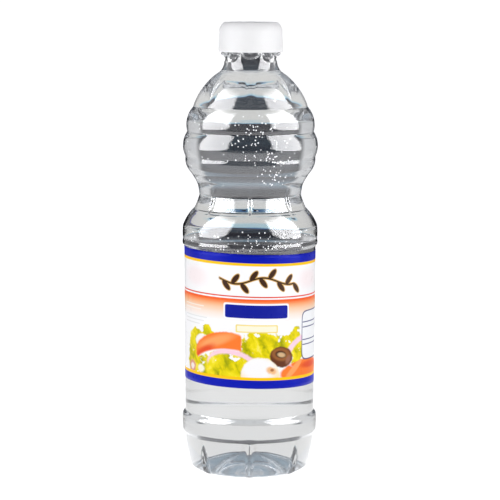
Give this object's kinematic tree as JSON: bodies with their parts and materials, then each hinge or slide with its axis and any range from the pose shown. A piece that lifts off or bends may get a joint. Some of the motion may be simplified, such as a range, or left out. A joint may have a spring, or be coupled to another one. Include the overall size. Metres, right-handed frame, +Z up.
{
  "type": "bottle of vinegar",
  "caption": "Clear ribbed plastic bottle of white vinegar with a fluted waist and foot, a white screw cap and a plain printed wrap-around label.",
  "frame": {"origin": "centre of the ring that the bottle stands on", "axes": "+Z up along the bottle's axis; the label's front faces -Y, and one flute faces the front"},
  "size_m": [0.0644, 0.0644, 0.2135],
  "materials": {
    "clear_plastic": "clear, colourless blown plastic, glossy",
    "vinegar": "clear, colourless liquid",
    "cap_plastic": "white moulded plastic, semi-gloss",
    "label_film": "glossy printed film, blue and yellow borders round pale and red fields"
  },
  "bodies": {
    "root": {"bottle": "clear_plastic", "vinegar": "vinegar", "cap": "cap_plastic", "label": "label_film"}
  },
  "joints": []
}
